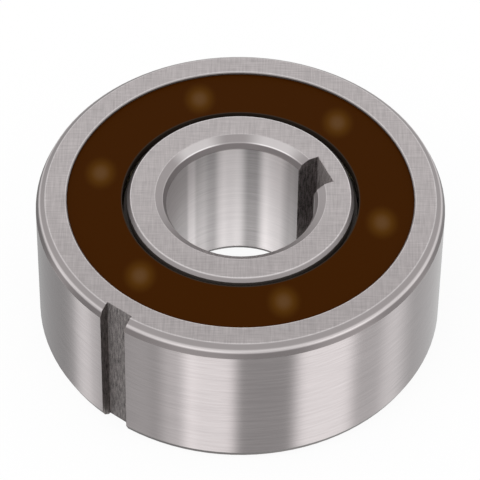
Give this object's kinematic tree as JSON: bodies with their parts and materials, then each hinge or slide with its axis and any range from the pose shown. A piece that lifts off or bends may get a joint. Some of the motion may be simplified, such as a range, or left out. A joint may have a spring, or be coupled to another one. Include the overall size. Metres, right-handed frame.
{
  "type": "sprag clutch bearing",
  "caption": "Small one-way clutch bearing: steel rings with keyways, sprags and balls in one cage behind brown plastic shields. The inner ring turns freely one way only.",
  "frame": {"origin": "on the clutch's axis, in the plane of the lower faces of both rings", "axes": "+Z along the axis, out of the upper faces; seen from +Z the inner ring overruns counter-clockwise and locks clockwise; +X and +Y lie across, and the keyway in the bore is 24 degrees from +X"},
  "size_m": [0.022, 0.022, 0.009],
  "materials": {
    "ring_steel": "ground and finely brushed steel",
    "shield_plastic": "smooth dark brown plastic, slightly see-through",
    "cage_plastic": "natural moulded plastic",
    "ball_steel": "polished bearing steel",
    "sprag_steel": "hardened and ground steel",
    "spring_steel": "bright spring wire"
  },
  "bodies": {
    "outer_ring_body": {"outer_ring": "ring_steel", "upper_shield": "shield_plastic", "lower_shield": "shield_plastic"},
    "inner_ring_body": {"inner_ring": "ring_steel"},
    "cage": {"cage_body": "cage_plastic", "cage_cap": "cage_plastic", "upper_garter_spring": "spring_steel", "lower_garter_spring": "spring_steel"},
    "ball_1_body": {"ball_1": "ball_steel"},
    "ball_2_body": {"ball_2": "ball_steel"},
    "ball_3_body": {"ball_3": "ball_steel"},
    "ball_4_body": {"ball_4": "ball_steel"},
    "ball_5_body": {"ball_5": "ball_steel"},
    "ball_6_body": {"ball_6": "ball_steel"},
    "sprag_1_body": {"sprag_1": "sprag_steel"},
    "sprag_2_body": {"sprag_2": "sprag_steel"},
    "sprag_3_body": {"sprag_3": "sprag_steel"},
    "sprag_4_body": {"sprag_4": "sprag_steel"},
    "sprag_5_body": {"sprag_5": "sprag_steel"},
    "sprag_6_body": {"sprag_6": "sprag_steel"}
  },
  "joints": [
    {"name": "inner_ring_spin", "type": "hinge", "parent": "outer_ring_body", "child": "inner_ring_body", "pos_m": [0, 0, 0.0045], "axis": [0, 0, 1], "range_deg": [0, 990]},
    {"name": "cage_spin", "type": "hinge", "parent": "outer_ring_body", "child": "cage", "pos_m": [0, 0, 0.0045], "axis": [0, 0, 1], "range_deg": [0, 384]},
    {"name": "ball_1_spin", "type": "hinge", "parent": "cage", "child": "ball_1_body", "pos_m": [0.00757, -0.00168, 0.0045], "axis": [0, 0, 1], "range_deg": [-2081, 0]},
    {"name": "ball_2_spin", "type": "hinge", "parent": "cage", "child": "ball_2_body", "pos_m": [0.00524, 0.00571, 0.0045], "axis": [0, 0, 1], "range_deg": [-2081, 0]},
    {"name": "ball_3_spin", "type": "hinge", "parent": "cage", "child": "ball_3_body", "pos_m": [-0.00233, 0.00739, 0.0045], "axis": [0, 0, 1], "range_deg": [-2081, 0]},
    {"name": "ball_4_spin", "type": "hinge", "parent": "cage", "child": "ball_4_body", "pos_m": [-0.00757, 0.00168, 0.0045], "axis": [0, 0, 1], "range_deg": [-2081, 0]},
    {"name": "ball_5_spin", "type": "hinge", "parent": "cage", "child": "ball_5_body", "pos_m": [-0.00524, -0.00571, 0.0045], "axis": [0, 0, 1], "range_deg": [-2081, 0]},
    {"name": "ball_6_spin", "type": "hinge", "parent": "cage", "child": "ball_6_body", "pos_m": [0.00233, -0.00739, 0.0045], "axis": [0, 0, 1], "range_deg": [-2081, 0]},
    {"name": "sprag_1_tilt", "type": "hinge", "parent": "cage", "child": "sprag_1_body", "pos_m": [0.00739, 0.00233, 0.0045], "axis": [0, 0, -1], "range_deg": [0, 4]},
    {"name": "sprag_2_tilt", "type": "hinge", "parent": "cage", "child": "sprag_2_body", "pos_m": [0.00168, 0.00757, 0.0045], "axis": [0, 0, -1], "range_deg": [0, 4]},
    {"name": "sprag_3_tilt", "type": "hinge", "parent": "cage", "child": "sprag_3_body", "pos_m": [-0.00571, 0.00524, 0.0045], "axis": [0, 0, -1], "range_deg": [0, 4]},
    {"name": "sprag_4_tilt", "type": "hinge", "parent": "cage", "child": "sprag_4_body", "pos_m": [-0.00739, -0.00233, 0.0045], "axis": [0, 0, -1], "range_deg": [0, 4]},
    {"name": "sprag_5_tilt", "type": "hinge", "parent": "cage", "child": "sprag_5_body", "pos_m": [-0.00168, -0.00757, 0.0045], "axis": [0, 0, -1], "range_deg": [0, 4]},
    {"name": "sprag_6_tilt", "type": "hinge", "parent": "cage", "child": "sprag_6_body", "pos_m": [0.00571, -0.00524, 0.0045], "axis": [0, 0, -1], "range_deg": [0, 4]}
  ],
  "couplings": [
    {"joint": "cage_spin", "follows": "inner_ring_spin", "ratio": 0.3871},
    {"joint": "ball_1_spin", "follows": "inner_ring_spin", "ratio": -2.1014},
    {"joint": "ball_2_spin", "follows": "inner_ring_spin", "ratio": -2.1014},
    {"joint": "ball_3_spin", "follows": "inner_ring_spin", "ratio": -2.1014},
    {"joint": "ball_4_spin", "follows": "inner_ring_spin", "ratio": -2.1014},
    {"joint": "ball_5_spin", "follows": "inner_ring_spin", "ratio": -2.1014},
    {"joint": "ball_6_spin", "follows": "inner_ring_spin", "ratio": -2.1014},
    {"joint": "sprag_2_tilt", "follows": "sprag_1_tilt", "ratio": 1},
    {"joint": "sprag_3_tilt", "follows": "sprag_1_tilt", "ratio": 1},
    {"joint": "sprag_4_tilt", "follows": "sprag_1_tilt", "ratio": 1},
    {"joint": "sprag_5_tilt", "follows": "sprag_1_tilt", "ratio": 1},
    {"joint": "sprag_6_tilt", "follows": "sprag_1_tilt", "ratio": 1}
  ]
}
